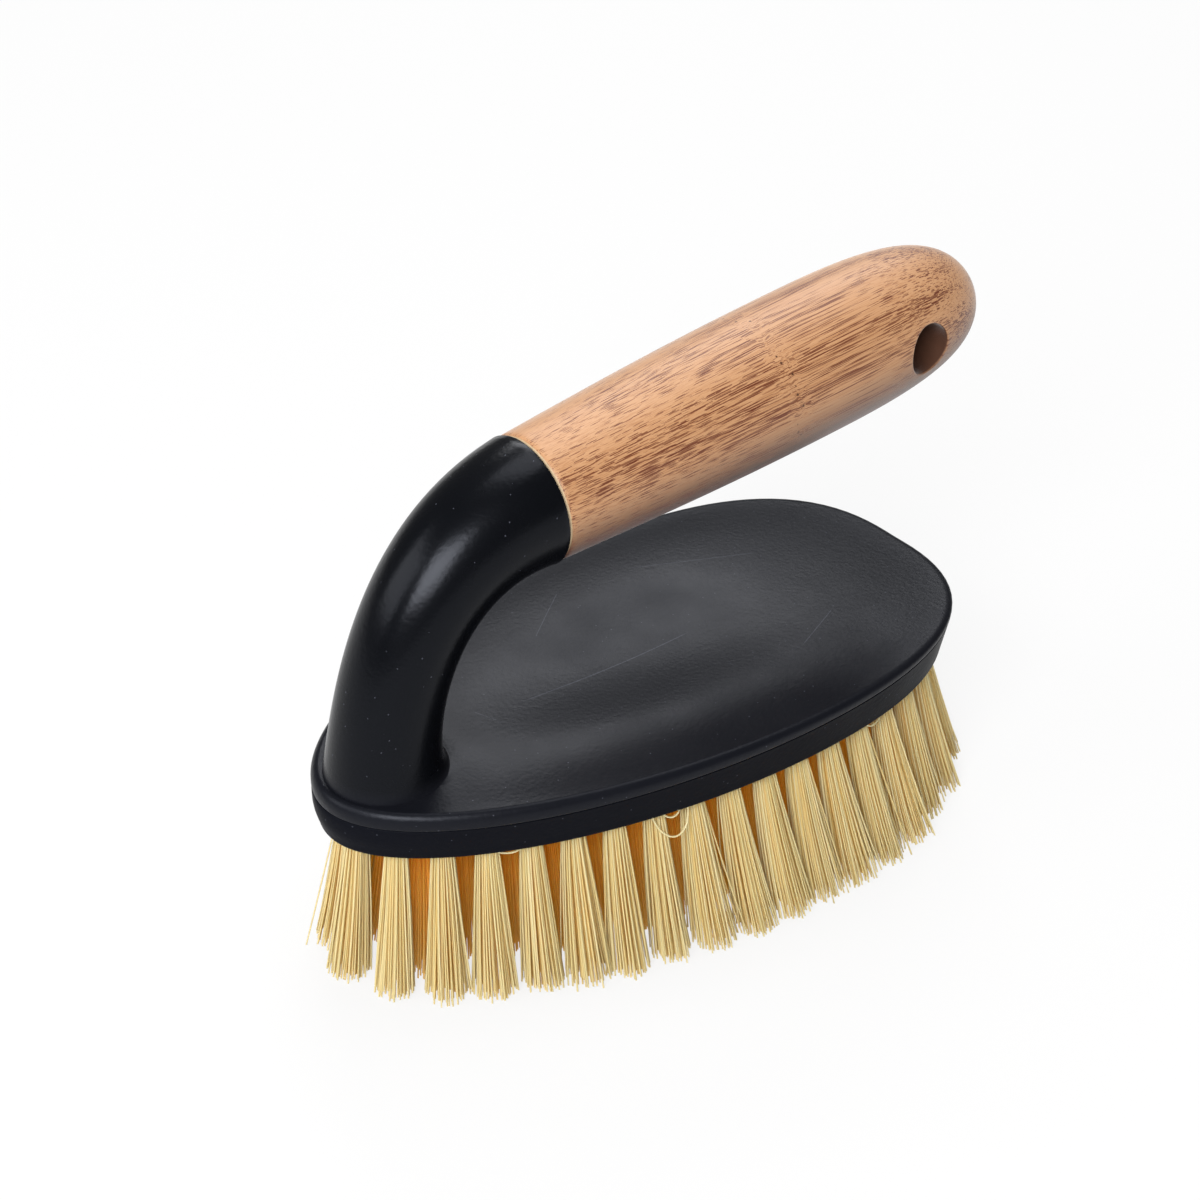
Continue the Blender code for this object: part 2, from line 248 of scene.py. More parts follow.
# %% [markdown]
# ## The cover
#
# The lid of the head and the hooked neck are one moulding of black polypropylene. The lid is a little
# hollow, like a dish, with a soft shoulder inside its rim. The neck grows out of the narrow nose with
# no ledge to speak of, and flares a little at its heel. One skin is pulled from the plug under the
# lid, over the rim, across the top and up the neck to the face that meets the wood.

# %% Height of the lid
DISH = 2.0                       # how deep the lid's middle lies under its shoulder
SHOULDER = 0.9                   # how high the shoulder stands over the lid's edge
SHOULDER_SHARE = 0.4             # how much of the way inwards it takes to rise
FALL, DROOP = 1.13, 0.37         # how far the edge slopes down to the rear, and curves down


def edge_height(along):
    """Height of the lid's edge, which falls towards the rear."""
    share = along / REAR
    return EDGE - FALL * share - DROOP * share ** 2


RIM_LINE = np.array([point[:] for point in outline(EDGE_INSET)])
RIM_TURNS = np.unwrap(np.arctan2(RIM_LINE[:, 1], RIM_LINE[:, 0]))[::-1]
RIM_REACH = np.hypot(*RIM_LINE.T)[::-1]


def rim_share(x, y):
    """How far out a place on the lid is: 0 in its middle and 1 at its edge."""
    turn = math.atan2(y, x)
    turn += math.tau * math.ceil((RIM_TURNS[0] - turn) / math.tau)
    return math.hypot(x, y) / np.interp(turn, RIM_TURNS, RIM_REACH, period=math.tau)


def lid_height(x, y):
    """Height of the lid's top: a soft shoulder inside its edge, round a hollow middle."""
    share = min(1.0, rim_share(x, y))
    inside = min(1.0, (1 - share) / SHOULDER_SHARE)
    shoulder = SHOULDER * (inside * math.exp(1 - inside)) ** 2
    rise = min(1.0, share / (1 - SHOULDER_SHARE))
    return edge_height(x) + shoulder - DISH * (1 - rise ** 2) ** 2


print("lid: middle", round(lid_height(0, 0), 2), "mm, rear", round(lid_height(REAR, 0), 2), "mm high")

# %% Rings of the lid
RIM_FOOT = 0.6                   # height over the seam that the rim's rounding is measured from
RIM_START = 0.25                 # share of the height above it where the rounding starts


def level(inset, height):
    """A ring of the outline at one height."""
    return [Vector((*point, height)) for point in outline(inset)]


def rim(turn):
    """A ring of the rim, which stands upright at a turn of 0 and rounds inwards up to 90 degrees."""
    turn = math.radians(turn)
    inset = EDGE_INSET - (LIP + EDGE_INSET) * math.cos(turn)
    foot = SEAM + RIM_FOOT
    share = RIM_START + (1 - RIM_START) * math.sin(turn)
    return [Vector((*point, foot + share * (edge_height(point.x) - foot))) for point in outline(inset)]


def across_lid(edge, foot, share):
    """A ring on the lid's top, at a share of the way from its edge to the neck's foot."""
    ring = [start.lerp(end, share) for start, end in zip(edge, foot)]
    for point in ring:
        point.z = lid_height(point.x, point.y)
    return ring


print("rim: out by", LIP, "mm at its foot and in by", EDGE_INSET, "mm at the top")

# %% Rings of the neck
TURNS = [math.tau * place / RING for place in range(RING)]
UP_PULL, BACK_PULL = 0.26, 0.85  # reach of the handles of the neck's Bezier line, at its foot and joint
FOOT_RADIUS, WAIST = 11.9, 8.7   # the neck starts at the first and is drawn in by the second
HEEL, HEEL_FADE = 1.3, 2.5       # how far the heel flares out, and how fast that fades upwards
SETTLE = 0.8                     # how fast the foot's rings leave the lid's own slope


def neck_ring(share):
    """A ring of the neck, at a share of the way from its foot to the joint with the grip."""
    foot = Vector((FOOT.x, 0, edge_height(FOOT.x)))
    reach = JOINT - foot
    line = [foot, foot + Vector((0, 0, UP_PULL * reach.z)),
            JOINT - GRIP_AXIS * BACK_PULL * reach.x, JOINT]
    rest = 1 - share
    weights = (rest ** 3, 3 * rest ** 2 * share, 3 * rest * share ** 2, share ** 3)
    centre = sum((point * weight for point, weight in zip(line, weights)), Vector())
    weights = (rest ** 2, 2 * rest * share, share ** 2)
    steps = [(after - before) * weight for before, after, weight in zip(line, line[1:], weights)]
    way = sum(steps, Vector()).normalized()
    radius = FOOT_RADIUS * rest ** 2 + 2 * WAIST * share * rest + NECK_RADIUS * share ** 2
    flare = math.exp((foot.z - centre.z) / HEEL_FADE)
    outwards = Vector((-way.z, 0, way.x))
    ring = []
    for turn in TURNS:
        heel = (0.5 - 0.5 * math.cos(turn)) ** 1.5
        reach_here = radius + HEEL * heel * flare
        ring.append(centre + (outwards * math.cos(turn) + ACROSS * math.sin(turn)) * reach_here)
    settle = math.exp((foot.z - centre.z) / SETTLE)
    for point in ring:
        point.z += settle * (lid_height(point.x, point.y) - foot.z)
    return ring


def joint_ring(radius, along):
    """A ring round the grip's axis, a length along from the joint."""
    return [JOINT + GRIP_AXIS * along + (GRIP_UP * math.cos(turn) + ACROSS * math.sin(turn)) * radius
            for turn in TURNS]


print("neck: from", 2 * FOOT_RADIUS, "mm at its foot to", 2 * NECK_RADIUS, "mm at the joint")

# %% Pull the cover
PLUG_INSET, PLUG_DEPTH, PLUG_CHAMFER = 3.3, 3.0, 0.5
PARTING = 0.06                   # the fine gap between the cover's rim and the block
LOWER_EDGE = ((0.8, PARTING), (0.95, 0.09), (1.08, 0.17), (1.16, 0.29), (LIP, 0.45))  # out, up
RIM_STEPS = (0, 8, 16, 24, 32, 40, 48, 56, 64, 71, 77, 82, 86)
LID_STEPS = [0, 0.008, 0.018, 0.03, 0.045, 0.062, 0.082, *np.linspace(0.105, 1, 32)]
NECK_STEPS = [0.003, 0.008, 0.016, 0.026, 0.04, 0.058, 0.08, 0.106, *np.linspace(0.135, 0.985, 36)]
JOINT_EDGE = ((0, 0.32), (0.09, 0.09), (0.32, 0))        # in, back: the neck's rounded end

rings = [level(PLUG_INSET + PLUG_CHAMFER, SEAM - PLUG_DEPTH),
         level(PLUG_INSET, SEAM - PLUG_DEPTH + PLUG_CHAMFER), level(PLUG_INSET, SEAM + PARTING)]
rings += [level(-out, SEAM + up) for out, up in LOWER_EDGE]
rings += [rim(turn) for turn in RIM_STEPS]
edge_ring, foot_ring = rim(90), neck_ring(0)
rings += [across_lid(edge_ring, foot_ring, float(share)) for share in LID_STEPS]
rings += [neck_ring(float(share)) for share in NECK_STEPS]
rings += [joint_ring(NECK_RADIUS - inwards, -back) for inwards, back in JOINT_EDGE]
rings += [joint_ring(TENON_RADIUS + CLEARANCE, -depth) for depth in (0, TENON_LENGTH + CLEARANCE)]
cover = pull("moulded_cover", rings)
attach(cover, "root")
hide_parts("cover")

# %% [markdown]
# ## The block
#
# The lower half of the head is a second moulding that carries the tufts. It is a tray with a slight
# draft and a rounded lower edge. The cover's plug drops into it, and leaves a fine parting line
# where the cover stands a hair proud.

# %% Rings of the block
DRAFT, ROUNDING, WALL = 0.5, 1.5, 3.0
TOP_LIP = 1.1                    # how far the wall stands out of the outline at the seam
BLOCK_FALL = 0.9                 # how far the underside falls from the head's middle to its rear
FULL_NOSE, NOSE_FADE = 0.9, 9.0  # how much fuller the nose is, and how soon that fades
SWELL = 0.5                      # how much the wall swells out round the nose, halfway up
ROUND_STEPS = 8
UPPER_EDGE = ((1.07, 0.2), (1.0, 0.1), (0.88, 0.03), (0.75, 0))  # out, down


def underside(along):
    """Height of the block's underside, which falls towards the rear."""
    return UNDERSIDE - BLOCK_FALL * along / REAR


def drafted(inset, fuller):
    """A ring drawn in by an inset, but drawn in less by some millimetres round the nose."""
    pairs = zip(outline(inset), outline(inset - fuller))
    return [point.lerp(full, math.exp((NOSE - point.x) / NOSE_FADE)) for point, full in pairs]


def rounded(turn):
    """A ring of the block's lower edge, flat under it at a turn of 0 and upright at 90 degrees."""
    turn = math.radians(turn)
    ring = drafted(DRAFT + ROUNDING * (1 - math.sin(turn)), FULL_NOSE)
    return [Vector((*point, underside(point.x) + ROUNDING * (1 - math.cos(turn)))) for point in ring]


def wall(share):
    """A ring of the block's side, a share of the way up from its lower rounding to the seam."""
    fuller = FULL_NOSE * (1 - share) + SWELL * math.sin(math.pi * share)
    ring = drafted(DRAFT - share * (DRAFT + TOP_LIP), fuller)
    return [Vector((*point, (1 - share) * (underside(point.x) + ROUNDING) + share * SEAM))
            for point in ring]


rings = [rounded(90 * step / ROUND_STEPS) for step in range(ROUND_STEPS)]
rings += [wall(share) for share in (0, 0.2, 0.4, 0.6, 0.8, 0.95)]
rings += [level(-out, SEAM - down) for out, down in UPPER_EDGE]
rings += [level(WALL, SEAM), level(WALL, SEAM - PLUG_DEPTH - CLEARANCE)]
block = pull("moulded_block", rings)
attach(block, "root")
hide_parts("tuft_block")

# %% [markdown]
# ## The grip
#
# The grip is turned from laminated bamboo: widest past its middle, drawn in towards the neck, and
# round at its free end. Its outline is drawn as points and spun about the grip's axis. The hanging
# hole is cut across with a Boolean, and its rim is pulled round by hand, because a drilled hole is
# always eased with sandpaper.

# %% Spin the grip
def turned(distance, radius):
    """A point of the grip's outline on its upper side."""
    return JOINT + GRIP_AXIS * distance + GRIP_UP * radius


WIDEST, WIDEST_RADIUS = 75.0, 15.6
SWELL_AT, SWELL_BY, LEVEL_FROM = 0.33, 1.3, 0.6  # handles of the stretch up to the widest place
END_FULLNESS, END_ROUNDNESS = 0.63, 0.84         # handles of the stretch round the free end
SWELL_STEPS, END_STEPS, SPIN_STEPS = 40, 48, 144
CHAMFER = ((0, 0.7), (0.35, 0.3), (0.8, -0.01))  # along, in: the pale edge by the neck

start, widest, end = Vector((0, GRIP_RADIUS)), Vector((WIDEST, WIDEST_RADIUS)), Vector((GRIP_LENGTH, 0))
swelling = interpolate_bezier(start, Vector((SWELL_AT * WIDEST, GRIP_RADIUS + SWELL_BY)),
                              Vector((LEVEL_FROM * WIDEST, WIDEST_RADIUS)), widest, SWELL_STEPS)
level_to = WIDEST + END_FULLNESS * (GRIP_LENGTH - WIDEST)
closing = interpolate_bezier(widest, Vector((level_to, WIDEST_RADIUS)),
                             Vector((GRIP_LENGTH, END_ROUNDNESS * WIDEST_RADIUS)), end, END_STEPS)
profile = [(-TENON_LENGTH, 0), (-TENON_LENGTH, TENON_RADIUS - 1), (1 - TENON_LENGTH, TENON_RADIUS),
           (CLEARANCE, TENON_RADIUS)]
profile += [(CLEARANCE + along, GRIP_RADIUS - inwards) for along, inwards in CHAMFER]
profile += [tuple(point[:2]) for point in swelling[1:] + closing[1:]]
bare()
bpy.ops.mesh.primitive_circle_add(vertices=len(profile), radius=1, location=(0, 0, 0))
grip = bpy.context.active_object
grip.name = grip.data.name = "bamboo_grip"
bpy.ops.object.mode_set(mode="EDIT")
shape = bmesh.from_edit_mesh(grip.data)
shape.verts.ensure_lookup_table()
for vertex, point in zip(shape.verts, profile):
    vertex.co = in_place(turned(*point))
first, last = shape.verts[0], shape.verts[len(profile) - 1]
shape.edges.remove(shape.edges.get((first, last)))
bmesh.update_edit_mesh(grip.data)
bpy.ops.mesh.select_all(action="SELECT")
bpy.ops.mesh.spin(steps=SPIN_STEPS, angle=math.tau, center=in_place(JOINT), axis=GRIP_AXIS)
bpy.ops.mesh.select_all(action="SELECT")
bpy.ops.mesh.remove_doubles(threshold=0.00001)
bpy.ops.mesh.normals_make_consistent(inside=False)
bpy.ops.object.mode_set(mode="OBJECT")
print("grip:", len(grip.data.polygons), "faces, box in mm:", in_mm(grip.dimensions))

# %% Cut the hanging hole
EASE = 0.4                       # radius of the sanded rim
DRILL_LENGTH, DRILL_SIDES = 60.0, 72
bare()
bpy.ops.mesh.primitive_cylinder_add(vertices=DRILL_SIDES, radius=(HOLE_RADIUS + EASE) * MM,
                                    depth=DRILL_LENGTH * MM, location=in_place(HOLE),
                                    rotation=(math.radians(90), 0, 0))
drill = bpy.context.active_object
take(grip)
cut = grip.modifiers.new("hanging hole", "BOOLEAN")
cut.operation, cut.solver, cut.object = "DIFFERENCE", "EXACT", drill
bpy.ops.object.modifier_apply(modifier=cut.name)
bpy.data.objects.remove(drill)


def from_hole(co):
    """The way to a place in the scene from the hole's axis, and how long it is, in millimetres."""
    away = co / MM - in_place(HOLE) / MM
    return away, math.hypot(away.x, away.z)


bpy.ops.object.mode_set(mode="EDIT")
bpy.ops.mesh.select_mode(type="FACE")
bpy.ops.mesh.select_all(action="DESELECT")
shape = bmesh.from_edit_mesh(grip.data)
for face in shape.faces:
    if all(from_hole(vertex.co)[1] < HOLE_RADIUS + EASE + 0.02 for vertex in face.verts):
        face.select_set(True)
bmesh.update_edit_mesh(grip.data)
bpy.ops.mesh.delete(type="ONLY_FACE")
bpy.ops.mesh.select_mode(type="EDGE")
bpy.ops.mesh.select_all(action="SELECT")
bpy.ops.mesh.delete_loose(use_verts=True, use_edges=True, use_faces=False)
print("grip without the hole's wall:", len(bmesh.from_edit_mesh(grip.data).faces), "faces")

# %% Round the hole's rim and bridge its wall
SANDED = 6                       # steps round the rim
MEET = 0.2                       # the two halves of the wall stop this far from the grip's middle


def pick_hole_rim(*sides):
    """Selects the open edge of the hole on one or both sides of the grip."""
    shape = bmesh.from_edit_mesh(grip.data)
    bpy.ops.mesh.select_all(action="DESELECT")
    for edge in shape.edges:
        if len(edge.link_faces) == 1 and any(edge.verts[0].co.y * side > 0 for side in sides):
            edge.select_set(True)
    shape.select_flush_mode()
    bmesh.update_edit_mesh(grip.data)
    return sum(edge.select for edge in shape.edges)


def move_rim(side, inwards, deeper):
    """Extrudes the selected rim towards the hole's axis, and into the wood."""
    bpy.ops.mesh.extrude_edges_move()
    shape = bmesh.from_edit_mesh(grip.data)
    for vertex in shape.verts:
        if vertex.select:
            away, reach = from_hole(vertex.co)
            step = Vector((away.x / reach * inwards, side * deeper, away.z / reach * inwards))
            vertex.co -= step * MM
    bmesh.update_edit_mesh(grip.data)


def reach_middle(side):
    """Extrudes the selected rim to the grip's middle, as half of the hole's wall."""
    bpy.ops.mesh.extrude_edges_move()
    shape = bmesh.from_edit_mesh(grip.data)
    for vertex in shape.verts:
        if vertex.select:
            vertex.co.y = side * MEET * MM
    bmesh.update_edit_mesh(grip.data)


for side in (1, -1):
    print("hole rim:", pick_hole_rim(side), "edges")
    for step in range(1, SANDED + 1):
        low, high = (math.radians(90) * place / SANDED for place in (step - 1, step))
        move_rim(side, (math.sin(high) - math.sin(low)) * EASE, (math.cos(low) - math.cos(high)) * EASE)
    reach_middle(side)
pick_hole_rim(1, -1)
bpy.ops.mesh.bridge_edge_loops()
finish_shell(grip, 30)
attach(grip, "root")
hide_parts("grip")

# %% [markdown]
# ## The bristles
#
# Each tuft is a bundle of stiff polymer filaments, 0.4 mm thick, stapled into a drilled hole. The
# bundles fan out, the outer ones lean over the head's edge, and the cut is uneven. One filament is
# modelled as a slim five-sided rod. It is then copied for every place in every tuft, and each copy is
# bent a little in its own way. Each row of tufts is one piece.

# %% Model one filament
bare()
bpy.ops.mesh.primitive_cylinder_add(vertices=5, radius=1, depth=1, location=(0, 0, 0.5))
filament = bpy.context.active_object
bpy.ops.object.transform_apply(location=True, rotation=False, scale=False)
bpy.ops.object.mode_set(mode="EDIT")
for height in (0.25, 0.5, 0.75):
    bpy.ops.mesh.select_all(action="SELECT")
    bpy.ops.mesh.bisect(plane_co=(0, 0, height), plane_no=(0, 0, 1))
bpy.ops.object.mode_set(mode="OBJECT")
ROD = np.array([vertex.co for vertex in filament.data.vertices])
ROD_FACES = [tuple(face.vertices) for face in filament.data.polygons]
bpy.data.objects.remove(filament)
print("one filament:", len(ROD), "vertices,", len(ROD_FACES), "faces")

# %% Where the tufts stand
ROWS = 17
TUFT_INSET = 6.2                 # from the head's outline to the middle of the outer tufts
OUTER_PITCH, TUFT_PITCH = 8.7, 10.3      # between outer tufts along the side, and across a row
STAGGER = 0.8                    # every other tuft of a row stands this much ahead or behind
NOSE_LEAN, REAR_LEAN, SIDE_LEAN = 3.6, 7.0, 10.8         # how far the outermost tips stand out


def half_width(along, inset):
    """Half the width of the drawn-in outline at a place along the head."""
    side = sorted((point.x, point.y) for point in outline(inset) if point.y >= -0.001)
    return float(np.interp(along, *zip(*side)))


def row_places():
    """Places along the head of the nose tuft and of the rows, whose outer tufts are evenly spaced."""
    side = outline(TUFT_INSET)[:RING // 2 + 1]
    lengths = np.cumsum([0] + [(after - before).length for before, after in zip(side, side[1:])])
    pitches = [OUTER_PITCH * row for row in range(ROWS + 1)]
    nose, *outer = (float(place) for place in np.interp(pitches, lengths, [point.x for point in side]))
    return nose, [place + STAGGER for place in outer]


def tuft_places(along):
    """Where the tufts of a row leave the block: the CAD model's own places."""
    reach = half_width(along - STAGGER, TUFT_INSET)
    count = max(1, round(2 * reach / TUFT_PITCH) + 1)
    if count == 1:
        return [Vector((along, 0))]
    places = []
    for here in range(count):
        from_side = min(here, count - 1 - here)
        shift = STAGGER if from_side % 2 else -STAGGER
        places.append(Vector((along + shift, reach * (2 * here / (count - 1) - 1))))
    return places


def lean(root):
    """How far a tuft's tips stand outwards of its root."""
    share = (root.x - NOSE) / HEAD_LENGTH
    return Vector((REAR_LEAN * share - NOSE_LEAN * (1 - share), SIDE_LEAN * root.y / (HEAD_WIDTH / 2)))


nose_tuft, alongs = row_places()
TUFTS = [tuft_places(along) for along in alongs]
TUFTS[0].insert(0, Vector((nose_tuft, 0)))
print("tufts in each row:", [len(row) for row in TUFTS], "together", sum(len(row) for row in TUFTS))

# %% Bend one filament
FILAMENT_RADIUS, TAPER = 0.2, 0.12       # the tips are worn thinner by this share
ROOT_DEPTH = 1.5                 # how far a filament reaches up into the block
OUTER_DEPTH, INNER_DEPTH = 7.5, 12.0     # how far inside the outline a root starts to be hidden, and is
EDGES = np.array([point[:] for point in outline(0)])


def depth_inside(root):
    """How deep a root stands among the tufts: 0 in the outer ones, 1 behind them."""
    inset = float(np.hypot(*(EDGES - root[:]).T).min())
    return min(1.0, max(0.0, (inset - OUTER_DEPTH) / (INNER_DEPTH - OUTER_DEPTH)))


def bend_rod(start, end, bow, thick, twist):
    """The rod's vertices from a root to a tip, bowed aside in between and turned about its length."""
    along = ROD[:, 2:3]
    path = np.array(start) + (np.array(end) - np.array(start)) * along
    path += np.array(bow) * 4 * along * (1 - along)
    turned_rod = [[math.cos(twist), math.sin(twist)], [-math.sin(twist), math.cos(twist)]]
    path[:, :2] += ROD[:, :2] @ np.array(turned_rod) * thick * (1 - TAPER * along)
    return path


print("a filament is", 2 * FILAMENT_RADIUS, "mm thick, and reaches", ROOT_DEPTH, "mm into the block")

# %% Grow one tuft
FILAMENTS = 112                  # in each tuft
BUNDLE_RADIUS = 2.0              # of a tuft at its root
SPLAY = (4.0, 5.2)               # least and greatest radius of a tuft at its tips
TUFT_SWAY, CUT_SLOPE = 0.9, 0.14         # how unevenly the tufts lean, and are cut
GOLDEN_TURN = 2.39996            # radians from one root to the next, which spreads them evenly
STRAYS, STRAY_REACH = 0.04, (1.1, 1.6)   # share of filaments that stick out, and how much further
SHORT, SHORT_BY = 0.06, (0.8, 3.0)       # share of filaments that were cut short, and by how much
chance = random.Random(11)


def grow_tuft(centre):
    """Every filament of a tuft: its vertices, a tone of its own, and its painted shade, an orange for
    how hidden it is.
    """
    swing = chance.uniform(0, math.tau)
    tuft_lean = lean(centre) + Vector([chance.uniform(-TUFT_SWAY, TUFT_SWAY) for _ in range(2)])
    splay = chance.uniform(*SPLAY)
    cut_slope = Vector([chance.uniform(-CUT_SLOPE, CUT_SLOPE) for _ in range(2)])
    rods, shades, painted_ambers = [], [], []
    for number in range(FILAMENTS):
        reach = math.sqrt((number + 0.5) / FILAMENTS)
        turn = swing + number * GOLDEN_TURN
        way = Vector((math.cos(turn), math.sin(turn)))
        root = centre + way * reach * BUNDLE_RADIUS
        stray = 1 if chance.random() > STRAYS else chance.uniform(*STRAY_REACH)
        fan = way * (reach * splay + chance.uniform(-0.2, 0.2)) * stray
        lowest = centre + tuft_lean + fan + Vector((chance.gauss(0, 0.22), chance.gauss(0, 0.22)))
        top = underside(root.x) + ROOT_DEPTH
        tip_height = abs(chance.gauss(0, 0.5)) + 0.05 + max(0.0, cut_slope.dot(fan))
        if chance.random() < SHORT:
            tip_height += chance.uniform(*SHORT_BY)
        tip = root.lerp(lowest, (top - tip_height) / top)
        bow = Vector((chance.gauss(0, 0.12), chance.gauss(0, 0.12), 0)) - Vector((*tuft_lean, 0)) * 0.05
        thick, twist = FILAMENT_RADIUS * chance.uniform(0.85, 1.15), chance.uniform(0, math.tau)
        rods.append(bend_rod(Vector((*root, top)), Vector((*tip, tip_height)), bow, thick, twist))
        shades.append(np.full(len(ROD), chance.random()))
        # How hidden a filament is, behind the outer tufts or in a tuft's core, sets its painted orange
        # shade, strongest by the root.
        hidden = max(depth_inside(root), 0.75 * (1 - reach ** 2))
        painted_ambers.append(hidden * (1 - 0.65 * ROD[:, 2]))
    return rods, shades, painted_ambers


print("in each tuft:", FILAMENTS, "filaments")

# %% Grow the rows
def grow_row(number, centres):
    """One row of tufts as one mesh."""
    rods, shades, painted_ambers = [], [], []
    for centre in centres:
        for held, grown in zip((rods, shades, painted_ambers), grow_tuft(centre)):
            held += grown
    points = (np.concatenate(rods) + [MIDDLE, 0, 0]) * MM
    faces = [tuple(corner + copy * len(ROD) for corner in face)
             for copy in range(len(rods)) for face in ROD_FACES]
    mesh = bpy.data.meshes.new(f"bristle_row_{number:02d}")
    mesh.from_pydata(points.tolist(), [], faces)
    for name, values in (("shade", shades), ("painted_amber", painted_ambers)):
        mesh.attributes.new(name, "FLOAT", "POINT").data.foreach_set("value", np.concatenate(values))
    mesh.shade_smooth()
    mesh.set_sharp_from_angle(angle=math.radians(80))
    row = bpy.data.objects.new(mesh.name, mesh)
    bpy.context.scene.collection.objects.link(row)
    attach(row, "root")
    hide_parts(f"tuft_row_{number:02d}")
    return row


rows = [grow_row(number, centres) for number, centres in enumerate(TUFTS, 1)]
print("filaments:", sum(len(row.data.vertices) for row in rows) // len(ROD),
      "faces:", sum(len(row.data.polygons) for row in rows))

# %% [markdown]
# ### Curled filaments
#
# A few filaments were bent over when the brush was filled, and hang out under its near edge as small
# loops.

# %% Curl the filaments
LOOP_STEPS, LOOP_SIDES = 20, 6
# Where each curl leaves the block, where it goes back in, and how deep it hangs.
CURLS = (((-51.9, -20.4), (-46.3, -23.1), 1.6), ((-20.6, -31.1), (-12.6, -32.7), 5.9),
         ((-18.4, -31.7), (-14.3, -32.5), 2.1), ((34.2, -34.4), (40.0, -33.6), 2.4))


def curl(number, start, end, depth):
    """A filament that leaves the block, hangs down in a loop and goes back in."""
    start, end = Vector((*start, underside(start[0]))), Vector((*end, underside(end[0])))
    down = Vector((0, -0.45, -1)) * depth
    aside = (end - start).cross(down).normalized()
    rings = []
    for step in range(LOOP_STEPS + 1):
        turn = math.pi * step / LOOP_STEPS
        middle = start.lerp(end, 0.5 - 0.5 * math.cos(turn)) + down * math.sin(turn)
        ahead = (end - start) * 0.5 * math.sin(turn) + down * math.cos(turn)
        over = ahead.normalized().cross(aside)
        rings.append([middle + (aside * math.cos(corner) + over * math.sin(corner)) * FILAMENT_RADIUS
                      for corner in (math.tau * side / LOOP_SIDES for side in range(LOOP_SIDES))])
    loop = pull(f"bristle_loop_{number}", rings)
    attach(loop, "root")
    return loop


loops = [curl(number, *places) for number, places in enumerate(CURLS, 1)]

# %% [markdown]
# ## Materials
#
# Each material starts from the real one, and its patterns from real sizes in millimetres. A Mapping
# node of the Texture kind turns an object's metres into millimetres from a chosen point.

# %% Helpers for materials
def linear(code):
    """An sRGB hex colour as the linear values that Blender computes with."""
    values = [int(code[place:place + 2], 16) / 255 for place in (0, 2, 4)]
    return [value / 12.92 if value <= 0.04045 else ((value + 0.055) / 1.055) ** 2.4
            for value in values] + [1]


def add(tree, kind, sockets=None, **settings):
    """Adds a node with its settings. A socket takes a value, or a link from an output or a node."""
    made = tree.nodes.new("ShaderNode" + kind)
    for name, value in settings.items():
        setattr(made, name, value)
    for key, value in (sockets or {}).items():
        if isinstance(value, bpy.types.Node):        # its first output that is in use
            value = next(output for output in value.outputs if output.enabled)
        if isinstance(value, bpy.types.NodeSocket):
            tree.links.new(value, made.inputs[key])
        else:
            made.inputs[key].default_value = value
    return made


def new_material(name):
    """A plain Principled material, with its node tree and its shader."""
    made = bpy.data.materials.new(name)
    made.use_nodes = True
    return made, made.node_tree, made.node_tree.nodes["Principled BSDF"]


def in_millimetres(tree, origin=(0, 0, 0), tilt=0):
    """The object's coordinates in millimetres from a place in the scene, tilted upwards by an angle."""
    place = add(tree, "TexCoord").outputs["Object"]
    return add(tree, "Mapping", {"Vector": place, "Location": origin, "Rotation": (0, -tilt, 0),
                                 "Scale": (MM, MM, MM)}, vector_type="TEXTURE")


def wear(piece, *materials):
    """Gives a piece its materials."""
    piece.data.materials.clear()
    for made in materials:
        piece.data.materials.append(made)


print("the cream E4DCAE as linear values:", [round(value, 3) for value in linear("E4DCAE")[:3]])

# %% [markdown]
# ### Black polypropylene
#
# The head is injection-moulded polypropylene with a carbon-black pigment. Its tool was lightly
# etched, so the lid has a fine leathery grain, half a millimetre wide, that breaks up the reflection.
# The neck's tool was polished, so the neck is glossier. Handling has left a few hairline scratches on
# the lid, and specks of dust.

# %% Moulded polypropylene
LID_BELOW, NECK_ABOVE = 47.2, 50.0       # heights between which the etched face turns polished
ETCHED_ROUGHNESS = 0.11                  # what etching adds to the polished face's roughness
plastic, tree, shader = new_material("moulded polypropylene, black")
mm_space = in_millimetres(tree)
height = add(tree, "SeparateXYZ", {0: mm_space}).outputs["Z"]
on_lid = add(tree, "MapRange", {"Value": height, "From Min": NECK_ABOVE, "From Max": LID_BELOW})
grain = add(tree, "TexNoise", {"Vector": mm_space, "Scale": 1.6, "Detail": 3.0, "Roughness": 0.6})
pores = add(tree, "TexVoronoi", {"Vector": mm_space, "Scale": 1.1}, feature="SMOOTH_F1")
leather = add(tree, "Math", {0: grain, 1: pores}, operation="ADD")
patch = add(tree, "TexNoise", {"Vector": mm_space, "Scale": 0.07, "Detail": 2.0})
rough = add(tree, "MapRange", {"Value": patch, "From Min": 0.3, "From Max": 0.7, "To Min": 0.22,
                               "To Max": 0.29})
etched = add(tree, "Math", {0: on_lid, 1: ETCHED_ROUGHNESS}, operation="MULTIPLY")
rough = add(tree, "Math", {0: rough, 1: etched}, operation="ADD")
tree.links.new(rough.outputs[0], shader.inputs["Roughness"])
print("leathery grain and roughness: ready")

# %% Scratches and dust
LONG_SCRATCH = ((-28, 0.5), (16, -0.5))
SHORT_SCRATCHES = (((-38, 3), (-36, -2)), ((30, -20), (44, -14)), ((20, 24), (46, 12)),
                   ((-12, 16), (2, 26)))


